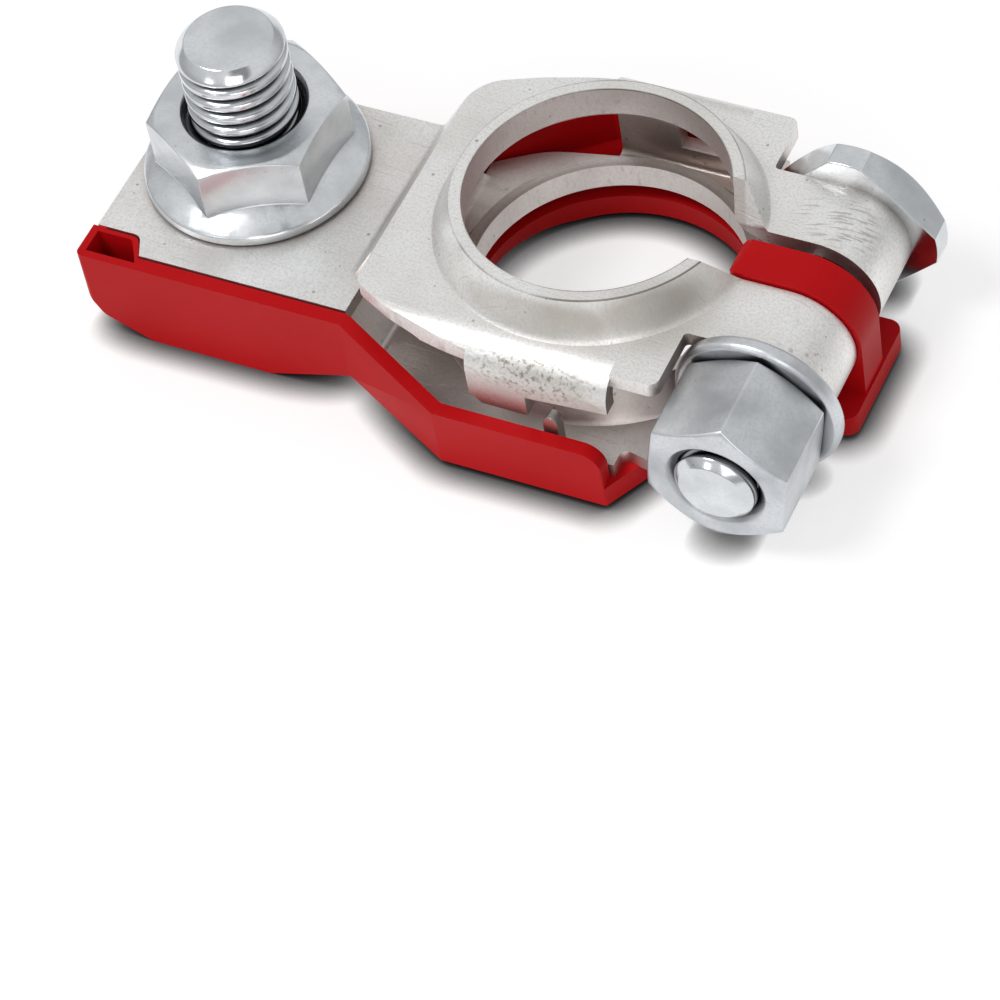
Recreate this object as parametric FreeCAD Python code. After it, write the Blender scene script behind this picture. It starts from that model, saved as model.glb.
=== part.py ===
import FreeCAD, Part
import math
import os

from FreeCAD import Vector

# A battery terminal clamp: one tinned steel sheet folded over a pinch bolt, in a moulded insulating tray.
# Millimetres. +Z is up. The origin is on the axis of the battery post, in the top face of the upper plate.
# The stud is on the -X side, the pinch bolt on the +X side, and its nut on the -Y side.

# Sheet of the clamp body
SHEET = 1.2
BEND_INSIDE = 0.8
SKIRT_BEND_INSIDE = 1.2
PLATE_GAP = 6.8
TAB_DROP = 3.6
TAB_GAP = 0.1

# How far a cutting shape reaches past the work, and how far joined shapes lap into each other
PAST = 1.0
LAP = 0.01

# Battery post and the collars that grip it
POST_GRIP_RADIUS = 9.5
POST_TAPER = 1.0 / 18.0
COLLAR_RISE = 2.9
LOWER_COLLAR_RISE = 2.5
COLLAR_WALL = 0.87
COLLAR_SPREAD = 1.25
COLLAR_FILLET = 0.3
COLLAR_REACH = 2.45
MOUTH_HIGH = 1.6
MOUTH_WIDE = 2.1
MOUTH_KNEE = 0.75

# Upper plate, plan view: straight front and back, and flanks that narrow towards the stud
PLATE_FRONT = 13.15
PLATE_BACK = 12.9
PLATE_LEFT = 14.0
FLANK_FRONT_LEFT = 10.9
FLANK_FRONT_MID_X = 11.0
FLANK_FRONT_MID = 12.35
FLANK_FRONT_NEAR_X = 6.3
FLANK_FRONT_NEAR = 13.35
FLANK_FRONT_RIGHT = 13.6
FLANK_BACK_LEFT = 9.2
FLANK_BACK_MID_X = 9.6
FLANK_BACK_MID = 11.05
FLANK_BACK_RIGHT = 12.75
FLANK_CORNER = 1.2
FLANK_BACK_CORNER = 3.4
FLANK_ROUND = 8.0
FLANK_DROOP = 2.0
SHOULDER = 9.85
SHOULDER_RADIUS = 0.8
SHOULDER_INSIDE = 0.3

# Skirts bent down from the upper plate. The front one is deep at the left and shallow at the right
SKIRT_OUT = 14.2
SKIRT_LEFT = 4.3
SKIRT_RIGHT = 6.4
SKIRT_STEP = 0.1
SKIRT_DEEP = 5.5
SKIRT_SHALLOW = 3.65
SKIRT_SHALLOW_END = 3.05
SKIRT_CORNER = 0.9
SKIRT_BACK = 3.5

# Ears and the slot between them
EAR_HALF = 8.0
SLOT = 4.6
SLOT_AT_RIM = 8.0
SLOT_START = 5.0

# Pinch bolt with its square head, nut and washer
PINCH_X = 15.2
PINCH_RADIUS = 3.0
PINCH_HEAD_FLATS = 11.0
PINCH_HEAD_CORNER = 6.65
PINCH_HEAD_HEIGHT = 2.9
PINCH_HEAD_SLOPE = 37.0
PINCH_PROUD = 0.6
PINCH_END_CHAMFER = 0.6
PINCH_NUT_FLATS = 10.0
PINCH_NUT_HEIGHT = 7.2
PINCH_NUT_TURN = 22.0
PINCH_NUT_SINK = 3.7
PINCH_NUT_SLOPE = 22.0
WASHER_RADIUS = 6.15
WASHER_HOLE = 3.2
WASHER_THICK = 1.3
WASHER_EDGE = 0.3
THREAD_PLAY = 0.05

# Stud and its flange nut
STUD_X = 27.75
STUD_RADIUS = 4.0
STUD_TOP = 12.8
STUD_CHAMFER = 0.7
STUD_PITCH = 1.25
STUD_THREAD_DEEP = 0.65
STUD_NECK = 8.0
STUD_NECK_SINK = 0.2
STUD_NECK_PLAY = 0.1
STUD_HEAD_RADIUS = 6.6
STUD_HEAD_HEIGHT = 3.0
STUD_NUT_FLATS = 12.7
STUD_NUT_HEIGHT = 6.2
STUD_NUT_TURN = 28.5
STUD_NUT_SLOPE = 30.0
FLANGE_RADIUS = 8.35
FLANGE_EDGE = 1.0
FLANGE_BREAK = 0.2
FLANGE_CONE = 1.3
FLANGE_CONE_TOP = 6.1
STUD_NUT_SINK = 4.7
CORNER_INSET = 0.17

# Stud tabs, plan view
TAB_LEFT = 36.3
TAB_BACK = 7.5
TAB_FRONT = 11.0
TAB_END = 15.3
NECK_HALF = 7.6
RAMP_FOOT = 16.2
LOWER_RAMP_HEAD = 13.4
RAMP_REACH = 11.0
NOTCH_WIDE = 3.5
NOTCH_FLARE = 1.3
NOTCH_DEEP = 1.8
NOTCH_RADIUS = 0.8

# Lower plate, plan view
LOWER_LEFT = 13.6
LOWER_INSET = 0.25
LOWER_CORNER = 0.6
HOOK_X = 6.5
HOOK_BACK = 13.0
HOOK_TIP_X = 8.6
HOOK_TIP = 13.4
HOOK_RADIUS = 0.5
LOWER_FLANK_RIGHT = 12.35
LOWER_FLANK_MID_X = 10.1
LOWER_FLANK_MID = 11.2
LOWER_FLANK_LEFT = 8.9
FLANGE_LEFT = 4.85
FLANGE_RIGHT = 8.0
FLANGE_TOP = -6.2
FLANGE_BEND_INSIDE = 0.4
LUG_RIGHT = 0.0
LUG_TOP = -3.75
NUB_X = 2.0
NUB_WIDE = 1.1
NUB_TIP_Z = -5.25
NUB_THICK = 0.9

# Insulating tray
TRAY_WALL = 1.1
TRAY_FLOOR = 1.8
TRAY_POCKET_DEPTH = 0.6
TRAY_RING_FRONT = 15.95
TRAY_TAB_PLAY = 0.1
TRAY_TAB_BACK = 9.1
TRAY_END_PROUD = 0.4
TRAY_RIGHT = 6.2
TRAY_RING_TOP = -5.9
TRAY_TAB_TOP = -3.75
TRAY_BACK_TOP = -6.0
TRAY_BACK_RING_TOP = -4.4
TRAY_BACK_RISE = 1.4
TRAY_END_TOP = -6.2
TRAY_CORNER = 1.0
TRAY_END_CORNER = 0.5
TRAY_TOP_ROUND = 1.6
TRAY_LEAN = 0.28
TRAY_POST_PLAY = 0.1
DIAGONAL_END = 6.6
ARCH_START = 22.2
ARCH_RISE = 1.7
ARCH_FLOOR = 1.0
ARCH_ROUND = 2.0
BOW_START = 31.9
BOW_KNEE_X = 35.6
BOW_KNEE_Z = -9.9
BOW_TOP = -8.0
CORNER_RIM = 0.6
CORNER_WALL = 0.35
CORNER_PLAY = 0.1
CORNER_FLOOR = -8.0
FIN_WIDE = 3.2
FIN_SHIFT = -0.55
FIN_PROUD = 0.35
FIN_LEFT = 10.4
FIN_ROUND = 0.8
FIN_BOLT_PLAY = 0.3
TONGUE_HALF = 4.8
TONGUE_REACH = 5.1
TONGUE_NECK_X = 11.45
TONGUE_NECK_HALF = 6.2
TONGUE_START = 12.85

# Heights that follow from the sizes above
PLATE_UNDER = -SHEET
LOWER_TOP = PLATE_UNDER - PLATE_GAP
LOWER_UNDER = LOWER_TOP - SHEET
TRAY_UNDER = LOWER_UNDER - TRAY_FLOOR
POCKET_UNDER = TRAY_UNDER - TRAY_POCKET_DEPTH
TAB_TOP = -TAB_DROP
LOWER_TAB_TOP = TAB_TOP - SHEET - TAB_GAP
LOWER_TAB_UNDER = LOWER_TAB_TOP - SHEET
CURL_RADIUS = -LOWER_UNDER / 2.0
PINCH_Z = -CURL_RADIUS

# Reaches of the tray that follow from what it holds
TRAY_LEFT = TAB_LEFT + TRAY_END_PROUD
TRAY_TAB_FRONT = TAB_FRONT + TRAY_TAB_PLAY + TRAY_WALL
TONGUE_RIGHT = PINCH_X + TONGUE_REACH


def corner_wire(corners, place):
    """A closed wire of straight runs. Each corner is (a, b, radius) and is rounded to its radius."""
    count = len(corners)
    runs = []
    arcs = []
    for index in range(count):
        before = Vector(*corners[index - 1][:2], 0)
        here = Vector(*corners[index][:2], 0)
        after = Vector(*corners[(index + 1) % count][:2], 0)
        radius = corners[index][2]
        if radius <= 0:
            arcs.append((here, None, here))
            continue
        towards_before = (before - here).normalize()
        towards_after = (after - here).normalize()
        half = towards_before.getAngle(towards_after) / 2.0
        reach = radius / math.tan(half)
        start = here + towards_before * reach
        end = here + towards_after * reach
        middle_way = (towards_before + towards_after).normalize()
        middle = here + middle_way * (radius / math.sin(half) - radius)
        arcs.append((start, middle, end))
    for index in range(count):
        start, middle, end = arcs[index]
        if middle is not None:
            runs.append(Part.Arc(place(start), place(middle), place(end)).toShape())
        next_start = arcs[(index + 1) % count][0]
        if (next_start - end).Length > 1e-6:
            runs.append(Part.LineSegment(place(end), place(next_start)).toShape())
    return Part.Wire(runs)


def plan_prism(corners, low, high):
    """A vertical prism on a plan outline of (x, y, radius) corners."""
    wire = corner_wire(corners, lambda p: Vector(p.x, p.y, low))
    return Part.Face(wire).extrude(Vector(0, 0, high - low))


def side_prism(corners, front, back):
    """A prism along Y on a side outline of (x, z, radius) corners."""
    wire = corner_wire(corners, lambda p: Vector(p.x, front, p.y))
    return Part.Face(wire).extrude(Vector(0, back - front, 0))


def end_prism(corners, left, right):
    """A prism along X on an end outline of (y, z, radius) corners."""
    wire = corner_wire(corners, lambda p: Vector(left, p.x, p.y))
    return Part.Face(wire).extrude(Vector(right - left, 0, 0))


def block(left, right, front, back, low, high):
    return Part.makeBox(right - left, back - front, high - low, Vector(left, front, low))


def turned(profile, axis_x, axis_y):
    """A turned solid about a vertical axis, from (radius, z) points."""
    points = [Vector(axis_x + radius, axis_y, z) for radius, z in profile]
    face = Part.Face(Part.makePolygon(points + points[:1]))
    return face.revolve(Vector(axis_x, axis_y, 0), Vector(0, 0, 1), 360)


def regular_prism(sides, flats, height, turn):
    """A prism on the origin, +Z up, with equal sides and one corner turned from +X by turn degrees."""
    reach = flats / 2.0 / math.cos(math.pi / sides)
    points = []
    for side in range(sides):
        angle = math.radians(turn) + 2.0 * math.pi * side / sides
        points.append(Vector(reach * math.cos(angle), reach * math.sin(angle), 0))
    return Part.Face(Part.makePolygon(points + points[:1])).extrude(Vector(0, 0, height))


def corner_chamfer(flats, reach, height, slope_degrees):
    """The turned blank that takes the corners off a head or nut at its top end, to intersect with."""
    start = flats / 2.0 - CORNER_INSET
    drop = (reach - start) * math.tan(math.radians(slope_degrees))
    return turned([(0, 0), (reach, 0), (reach, height - drop), (start, height), (0, height)], 0, 0)


def post_radius(z):
    """Radius of the tapered battery post at a height."""
    return POST_GRIP_RADIUS + (COLLAR_RISE - z) * POST_TAPER


def collar(plate_top, rise):
    """A plate's collar: the hole's edge drawn up into a ring that grips the post, wider at its foot."""
    under = plate_top - SHEET
    rim = plate_top + rise
    bore = post_radius(rim)
    foot = bore + COLLAR_WALL + COLLAR_SPREAD
    edge = bore + COLLAR_REACH
    return turned(
        [
            (bore + MOUTH_WIDE, under), (bore + MOUTH_KNEE, under + MOUTH_KNEE), (bore, under + MOUTH_HIGH),
            (bore, rim), (bore + COLLAR_WALL, rim), (foot, plate_top + COLLAR_FILLET),
            (foot + COLLAR_FILLET, plate_top), (edge, plate_top), (edge, under),
        ],
        0, 0,
    )


def collar_seat(plate_top, rise):
    """The round hole in a plate that its collar fills."""
    low = plate_top - SHEET - PAST
    radius = post_radius(plate_top + rise) + COLLAR_REACH - LAP
    return Part.makeCylinder(radius, SHEET + 2 * PAST, Vector(0, 0, low))


def collar_slit(plate_top, rise):
    """The slot where it splits a collar: as wide as the slot at the plate, wider at the rim."""
    half = SLOT / 2.0
    rim_half = SLOT_AT_RIM / 2.0
    rim = plate_top + rise
    outline = [(-half, plate_top, 0), (half, plate_top, 0), (rim_half, rim, 0), (rim_half, rim + PAST, 0),
               (-rim_half, rim + PAST, 0), (-rim_half, rim, 0)]
    return end_prism(outline, SLOT_START, PINCH_X)


def upper_outline():
    """Plan outline of the upper plate, without its ears. The skirts stay uncut here."""
    past = SKIRT_OUT + PAST
    return [
        (-PLATE_LEFT, -FLANK_FRONT_LEFT, FLANK_CORNER),
        (-FLANK_FRONT_MID_X, -FLANK_FRONT_MID, FLANK_ROUND),
        (-FLANK_FRONT_NEAR_X, -FLANK_FRONT_NEAR, FLANK_ROUND),
        (-SKIRT_LEFT, -FLANK_FRONT_RIGHT, 0),
        (-SKIRT_LEFT, -past, 0),
        (SKIRT_RIGHT, -past, 0),
        (SKIRT_RIGHT, -PLATE_FRONT, 0),
        (SHOULDER, -PLATE_FRONT, SHOULDER_RADIUS),
        (SHOULDER, -EAR_HALF, SHOULDER_INSIDE),
        (SHOULDER + PAST, -EAR_HALF, 0),
        (SHOULDER + PAST, EAR_HALF, 0),
        (SHOULDER, EAR_HALF, SHOULDER_INSIDE),
        (SHOULDER, PLATE_BACK, SHOULDER_RADIUS),
        (SKIRT_RIGHT, PLATE_BACK, 0),
        (SKIRT_RIGHT, past, 0),
        (-SKIRT_LEFT, past, 0),
        (-SKIRT_LEFT, FLANK_BACK_RIGHT, 0),
        (-FLANK_BACK_MID_X, FLANK_BACK_MID, FLANK_ROUND),
        (-PLATE_LEFT, FLANK_BACK_LEFT, FLANK_BACK_CORNER),
    ]


def skirt_profile():
    """End outline of the upper plate with both edges bent down, as (y, z, radius)."""
    outer = SKIRT_BEND_INSIDE + SHEET
    inside = SKIRT_OUT - SHEET
    return [
        (-SKIRT_OUT, 0, outer),
        (SKIRT_OUT, 0, outer),
        (SKIRT_OUT, -SKIRT_DEEP, 0),
        (inside, -SKIRT_DEEP, 0),
        (inside, PLATE_UNDER, SKIRT_BEND_INSIDE),
        (-inside, PLATE_UNDER, SKIRT_BEND_INSIDE),
        (-inside, -SKIRT_DEEP, 0),
        (-SKIRT_OUT, -SKIRT_DEEP, 0),
    ]


def upper_plate():
    """The upper plate with its skirts, cut to its plan outline, without hole and collar."""
    past = SKIRT_OUT + PAST
    bent = end_prism(skirt_profile(), -PLATE_LEFT, SKIRT_RIGHT)
    flat = block(SKIRT_RIGHT, SHOULDER + PAST, -PLATE_FRONT, PLATE_FRONT, PLATE_UNDER, 0)
    plate = bent.fuse(flat).common(plan_prism(upper_outline(), -SKIRT_DEEP, 0))
    low = -SKIRT_DEEP - PAST
    left = -PLATE_LEFT - PAST
    right = SKIRT_RIGHT + PAST
    step = [
        (SKIRT_STEP, low, 0),
        (SKIRT_STEP, -SKIRT_SHALLOW, 0),
        (SKIRT_RIGHT, -SKIRT_SHALLOW_END, 0),
        (right, -SKIRT_SHALLOW_END, 0),
        (right, low, 0),
    ]
    left_corner = [
        (-SKIRT_LEFT - PAST, low, 0),
        (-SKIRT_LEFT - PAST, -SKIRT_DEEP + SKIRT_CORNER, 0),
        (-SKIRT_LEFT, -SKIRT_DEEP + SKIRT_CORNER, 0),
        (-SKIRT_LEFT + SKIRT_CORNER, -SKIRT_DEEP, 0),
        (-SKIRT_LEFT + SKIRT_CORNER, low, 0),
    ]
    droop = block(left, -SKIRT_LEFT, -past, past, low, -FLANK_DROOP)
    back = block(left, right, 0, past, low, -SKIRT_BACK)
    return plate.cut([side_prism(step, -past, 0), side_prism(left_corner, -past, 0), droop, back])


def tab_strip(top, ramp_top, ramp_foot, ramp_head, right):
    """Side outline of a stud tab and the ramp that joins it to its plate, as (x, z, radius)."""
    slope = math.atan2(ramp_top - top, ramp_head - ramp_foot)
    shift = SHEET * math.tan(slope / 2.0)
    tight = BEND_INSIDE
    wide = BEND_INSIDE + SHEET
    rises = ramp_top > top
    foot_outer, foot_inner = (tight, wide) if rises else (wide, tight)
    return [
        (-TAB_LEFT, top, 0),
        (ramp_foot, top, foot_outer),
        (ramp_head, ramp_top, foot_inner),
        (right, ramp_top, 0),
        (right, ramp_top - SHEET, 0),
        (ramp_head + shift, ramp_top - SHEET, foot_outer),
        (ramp_foot + shift, top - SHEET, foot_inner),
        (-TAB_LEFT, top - SHEET, 0),
    ]


def tabs():
    """Both stud tabs, one over the other, each with the ramp to its plate."""
    upper = side_prism(tab_strip(TAB_TOP, 0, -RAMP_FOOT, -PLATE_LEFT, -RAMP_REACH), -NECK_HALF, TAB_BACK)
    lower_strip = tab_strip(LOWER_TAB_TOP, LOWER_TOP, -RAMP_FOOT, -LOWER_RAMP_HEAD, -RAMP_REACH)
    lower = side_prism(lower_strip, -TAB_FRONT, TAB_BACK)
    wing = block(-TAB_LEFT, -TAB_END, -TAB_FRONT, -NECK_HALF + BEND_INSIDE, TAB_TOP - SHEET, TAB_TOP)
    notch = plan_prism(
        [
            (-TAB_LEFT - PAST, -TAB_FRONT - PAST, 0),
            (-TAB_LEFT + NOTCH_WIDE + NOTCH_FLARE, -TAB_FRONT - PAST, 0),
            (-TAB_LEFT + NOTCH_WIDE, -TAB_FRONT + NOTCH_DEEP, NOTCH_RADIUS),
            (-TAB_LEFT - PAST, -TAB_FRONT + NOTCH_DEEP, 0),
        ],
        LOWER_TAB_UNDER - PAST, TAB_TOP + PAST,
    )
    half = STUD_NECK / 2.0 + STUD_NECK_PLAY
    hole = block(-STUD_X - half, -STUD_X + half, -half, half, LOWER_TAB_UNDER - PAST, TAB_TOP + PAST)
    return [piece.cut([notch, hole]) for piece in (upper, lower, wing)]


def cylinder_along_y(radius, half):
    """A cylinder on the pinch bolt's axis, as long to the front as to the back."""
    return Part.makeCylinder(radius, 2 * half, Vector(PINCH_X, -half, PINCH_Z), Vector(0, 1, 0))


def curl():
    """The sheet's fold round the pinch bolt, with the flats that join it to both plates."""
    outer = block(SHOULDER, PINCH_X, -EAR_HALF, EAR_HALF, LOWER_UNDER, 0)
    outer = outer.fuse(cylinder_along_y(CURL_RADIUS, EAR_HALF))
    past = EAR_HALF + PAST
    inside = block(SHOULDER - PAST, PINCH_X, -past, past, LOWER_TOP, PLATE_UNDER)
    inside = inside.fuse(cylinder_along_y(CURL_RADIUS - SHEET, past))
    return outer.cut(inside)


def lower_outline():
    """Plan outline of the lower plate, which fills the tray's ring part."""
    ring = TRAY_RING_FRONT - TRAY_WALL - LOWER_INSET
    tab = TRAY_TAB_FRONT - TRAY_WALL - LOWER_INSET
    return [
        (-LOWER_LEFT, -tab, LOWER_CORNER),
        (-DIAGONAL_END, -ring, LOWER_CORNER),
        (HOOK_X, -ring, 0),
        (HOOK_X, -HOOK_BACK, HOOK_RADIUS),
        (HOOK_TIP_X, -HOOK_TIP, 0),
        (SHOULDER, -EAR_HALF, 0),
        (SHOULDER + PAST, -EAR_HALF, 0),
        (SHOULDER + PAST, EAR_HALF, 0),
        (SHOULDER, EAR_HALF, 0),
        (SHOULDER, PLATE_BACK, SHOULDER_RADIUS),
        (-FLANGE_LEFT, PLATE_BACK, 0),
        (-FLANGE_LEFT, LOWER_FLANK_RIGHT, 0),
        (-LOWER_FLANK_MID_X, LOWER_FLANK_MID, FLANK_ROUND),
        (-LOWER_LEFT, LOWER_FLANK_LEFT, LOWER_CORNER),
    ]


def lower_flange():
    """The lower plate's back edge, bent up in line with the skirt, with the lug that meets the skirt."""
    inside = SKIRT_OUT - SHEET
    bent = end_prism(
        [
            (inside - SHEET, LOWER_UNDER, 0),
            (SKIRT_OUT, LOWER_UNDER, FLANGE_BEND_INSIDE + SHEET),
            (SKIRT_OUT, FLANGE_TOP, 0),
            (inside, FLANGE_TOP, 0),
            (inside, LOWER_TOP, FLANGE_BEND_INSIDE),
            (inside - SHEET, LOWER_TOP, 0),
        ],
        -FLANGE_LEFT, FLANGE_RIGHT,
    )
    lug = block(-FLANGE_LEFT, LUG_RIGHT, inside, SKIRT_OUT, FLANGE_TOP - SHEET, LUG_TOP)
    return bent.fuse(lug)


def lower_plate():
    """The lower plate with its back flange and the small nub at its front edge."""
    plate = plan_prism(lower_outline(), LOWER_UNDER, LOWER_TOP)
    front = -(TRAY_RING_FRONT - TRAY_WALL - LOWER_INSET)
    half = NUB_WIDE / 2.0
    nub = block(NUB_X - half, NUB_X + half, front, front + NUB_THICK, LOWER_UNDER, NUB_TIP_Z)
    tip = Part.makeCylinder(half, NUB_THICK, Vector(NUB_X, front, NUB_TIP_Z), Vector(0, 1, 0))
    return plate.fuse([lower_flange(), nub, tip])


def clamp_body():
    plates = upper_plate().fuse([curl()]).cut(collar_seat(0, COLLAR_RISE))
    lower = lower_plate().cut(collar_seat(LOWER_TOP, LOWER_COLLAR_RISE))
    collars = [collar(0, COLLAR_RISE), collar(LOWER_TOP, LOWER_COLLAR_RISE)]
    body = plates.fuse([lower] + collars + tabs())
    half = SLOT / 2.0
    right = PINCH_X + CURL_RADIUS + PAST
    slot = block(SLOT_START, right, -half, half, LOWER_UNDER - PAST, COLLAR_RISE + PAST)
    body = body.cut([slot, collar_slit(0, COLLAR_RISE), collar_slit(LOWER_TOP, LOWER_COLLAR_RISE)])
    return body.removeSplitter()


def tray_outer():
    """Plan outline of the tray."""
    return [
        (-TRAY_LEFT, -TRAY_TAB_FRONT, TRAY_END_CORNER),
        (-TAB_END, -TRAY_TAB_FRONT, 0),
        (-DIAGONAL_END, -TRAY_RING_FRONT, 0),
        (TRAY_RIGHT, -TRAY_RING_FRONT, LOWER_INSET),
        (TONGUE_NECK_X, -TONGUE_NECK_HALF, TRAY_CORNER),
        (TONGUE_START, -TONGUE_HALF, TRAY_CORNER),
        (TONGUE_RIGHT, -TONGUE_HALF, TRAY_CORNER),
        (TONGUE_RIGHT, TONGUE_HALF, TRAY_CORNER),
        (TONGUE_START, TONGUE_HALF, TRAY_CORNER),
        (TONGUE_NECK_X, TONGUE_NECK_HALF, TRAY_CORNER),
        (TRAY_RIGHT, TRAY_RING_FRONT, LOWER_INSET),
        (-DIAGONAL_END, TRAY_RING_FRONT, 0),
        (-TAB_END, TRAY_TAB_BACK, 0),
        (-TRAY_LEFT, TRAY_TAB_BACK, TRAY_END_CORNER),
    ]


def tray_inner():
    """Plan outline of the tray's inside, open at the right end."""
    wall = TRAY_WALL
    lean = TRAY_LEAN
    corner = TRAY_END_CORNER
    right = TONGUE_RIGHT + PAST
    return [
        (-TRAY_LEFT + wall, -TRAY_TAB_FRONT + wall, corner),
        (-TAB_END + lean, -TRAY_TAB_FRONT + wall, 0),
        (-DIAGONAL_END + lean, -TRAY_RING_FRONT + wall, 0),
        (right, -TRAY_RING_FRONT + wall, 0),
        (right, TRAY_RING_FRONT - wall, 0),
        (-DIAGONAL_END + lean, TRAY_RING_FRONT - wall, 0),
        (-TAB_END + lean, TRAY_TAB_BACK - wall, 0),
        (-TRAY_LEFT + wall, TRAY_TAB_BACK - wall, corner),
    ]


def tray_floor_line():
    """Side outline of the room inside the tray: its floor rises over the arch between tab and ring."""
    high = TRAY_TAB_TOP + PAST
    right = TONGUE_RIGHT + PAST
    crest = TRAY_UNDER + ARCH_RISE + ARCH_FLOOR
    return [
        (-TRAY_LEFT, high, 0),
        (-TRAY_LEFT, BOW_TOP, 0),
        (-BOW_KNEE_X + TRAY_WALL, LOWER_UNDER, TRAY_WALL),
        (-ARCH_START + ARCH_FLOOR, LOWER_UNDER, 0),
        (-TAB_END - SHEET, crest, ARCH_ROUND),
        (-LOWER_LEFT - SHEET, LOWER_UNDER, 0),
        (right, LOWER_UNDER, 0),
        (right, high, 0),
    ]


def tray_side(top, wall_top_line):
    """Side outline of the tray: wall tops above, and below the bow at the end, the pocket and the arch."""
    return wall_top_line + [
        (TONGUE_RIGHT, LOWER_UNDER, 0),
        (TONGUE_RIGHT, TRAY_UNDER, 0),
        (-DIAGONAL_END, TRAY_UNDER, ARCH_ROUND),
        (-TAB_END, TRAY_UNDER + ARCH_RISE, ARCH_ROUND),
        (-ARCH_START, POCKET_UNDER, ARCH_ROUND),
        (-BOW_START, POCKET_UNDER, ARCH_ROUND),
        (-BOW_KNEE_X, BOW_KNEE_Z, TRAY_WALL),
        (-TRAY_LEFT, BOW_TOP, 0),
        (-TRAY_LEFT, top, 0),
    ]


def tray_fin():
    """The fin that stands in the slot, follows the curl and lets the pinch bolt through."""
    radius = CURL_RADIUS + FIN_PROUD
    front = FIN_SHIFT - FIN_WIDE / 2.0
    back = FIN_SHIFT + FIN_WIDE / 2.0
    low = LOWER_UNDER - BEND_INSIDE
    side = [
        (FIN_LEFT, low, 0),
        (FIN_LEFT, FIN_PROUD, FIN_ROUND),
        (PINCH_X + radius, FIN_PROUD, radius),
        (PINCH_X + radius, low, 0),
    ]
    plan = [
        (FIN_LEFT, front, FIN_ROUND),
        (PINCH_X + radius, front, 0),
        (PINCH_X + radius, back, 0),
        (FIN_LEFT, back, FIN_ROUND),
    ]
    body = side_prism(side, front, back).common(plan_prism(plan, low, FIN_PROUD))
    return body.cut(cylinder_along_y(PINCH_RADIUS + FIN_BOLT_PLAY, EAR_HALF))


def tray_corner():
    """The walls that stand in the notch of the tabs and close the hollow front corner of the tray."""
    back = -TAB_FRONT + NOTCH_DEEP - CORNER_PLAY
    right = -TAB_LEFT + NOTCH_WIDE - CORNER_PLAY
    front = -TRAY_TAB_FRONT + TRAY_WALL / 2.0
    left = -TRAY_LEFT + TRAY_WALL / 2.0
    solid = plan_prism(
        [
            (left, front, 0),
            (right + NOTCH_FLARE - CORNER_PLAY, front, 0),
            (right, back, NOTCH_RADIUS),
            (left, back, 0),
        ],
        LOWER_UNDER, TRAY_TAB_TOP,
    )
    thin = CORNER_WALL
    hollow = plan_prism(
        [
            (-TRAY_LEFT + CORNER_RIM, -TRAY_TAB_FRONT + CORNER_RIM, 0),
            (right + NOTCH_FLARE - CORNER_PLAY - thin, -TRAY_TAB_FRONT + CORNER_RIM, 0),
            (right - thin, back - thin, NOTCH_RADIUS - thin),
            (-TRAY_LEFT + CORNER_RIM, back - thin, 0),
        ],
        CORNER_FLOOR, TRAY_TAB_TOP + PAST,
    )
    return solid, hollow


def insulating_tray():
    past = TRAY_RING_FRONT + PAST
    front_tops = [
        (-TAB_END, TRAY_TAB_TOP, 0),
        (-DIAGONAL_END, TRAY_RING_TOP, 0),
        (TRAY_RIGHT, TRAY_RING_TOP, TRAY_TOP_ROUND),
        (TRAY_RIGHT, LOWER_UNDER, 0),
    ]
    back_tops = [
        (-DIAGONAL_END, TRAY_BACK_TOP, 0),
        (-DIAGONAL_END + TRAY_BACK_RISE, TRAY_BACK_RING_TOP, 0),
        (TRAY_RIGHT, TRAY_BACK_RING_TOP, TRAY_TOP_ROUND),
        (TRAY_RIGHT, LOWER_UNDER, 0),
    ]
    front_half = side_prism(tray_side(TRAY_TAB_TOP, front_tops), -past, 0)
    back_half = side_prism(tray_side(TRAY_BACK_TOP, back_tops), 0, past)
    outer = plan_prism(tray_outer(), POCKET_UNDER, TRAY_TAB_TOP)
    body = front_half.fuse(back_half).common(outer)
    high = TRAY_TAB_TOP + PAST
    room = plan_prism(tray_inner(), POCKET_UNDER, high).common(side_prism(tray_floor_line(), -past, past))
    low_end = block(-TRAY_LEFT - PAST, -TRAY_LEFT + TRAY_WALL + PAST, -TAB_FRONT + NOTCH_DEEP, past,
                    TRAY_END_TOP, high)
    corner, hollow = tray_corner()
    hole = post_radius(TRAY_UNDER) + TRAY_POST_PLAY
    post = Part.makeCylinder(hole, TRAY_FLOOR + 2 * PAST, Vector(0, 0, TRAY_UNDER - PAST))
    body = body.cut([room, low_end]).fuse([corner, tray_fin()]).cut([hollow, post])
    return body.removeSplitter()


def thread_rings(start, end):
    """Points of the stud's thread between two heights, drawn as V-shaped rings up to the end chamfer."""
    points = []
    for turn in range(int((end - start) / STUD_PITCH), 0, -1):
        low = end - turn * STUD_PITCH
        points += [(STUD_RADIUS, low), (STUD_RADIUS - STUD_THREAD_DEEP, low + STUD_PITCH / 2.0)]
    return points


def stud_bolt():
    """The stud: round head under the tabs, square neck through both, then the threaded shank."""
    top = TAB_TOP + STUD_TOP
    under = LOWER_TAB_UNDER
    half = STUD_NECK / 2.0
    head = Part.makeCylinder(STUD_HEAD_RADIUS, STUD_HEAD_HEIGHT, Vector(-STUD_X, 0, under - STUD_HEAD_HEIGHT))
    neck_top = TAB_TOP - STUD_NECK_SINK
    neck = block(-STUD_X - half, -STUD_X + half, -half, half, under, neck_top)
    mouth = TAB_TOP + STUD_NUT_HEIGHT - (STUD_NUT_SINK - STUD_RADIUS - THREAD_PLAY)
    foot_points = [(0, neck_top), (STUD_RADIUS, neck_top)]
    end_points = [(STUD_RADIUS, top - STUD_CHAMFER), (STUD_RADIUS - STUD_CHAMFER, top), (0, top)]
    shank = turned(foot_points + thread_rings(mouth, top - STUD_CHAMFER) + end_points, -STUD_X, 0)
    return head.fuse([neck, shank]).removeSplitter()


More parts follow.
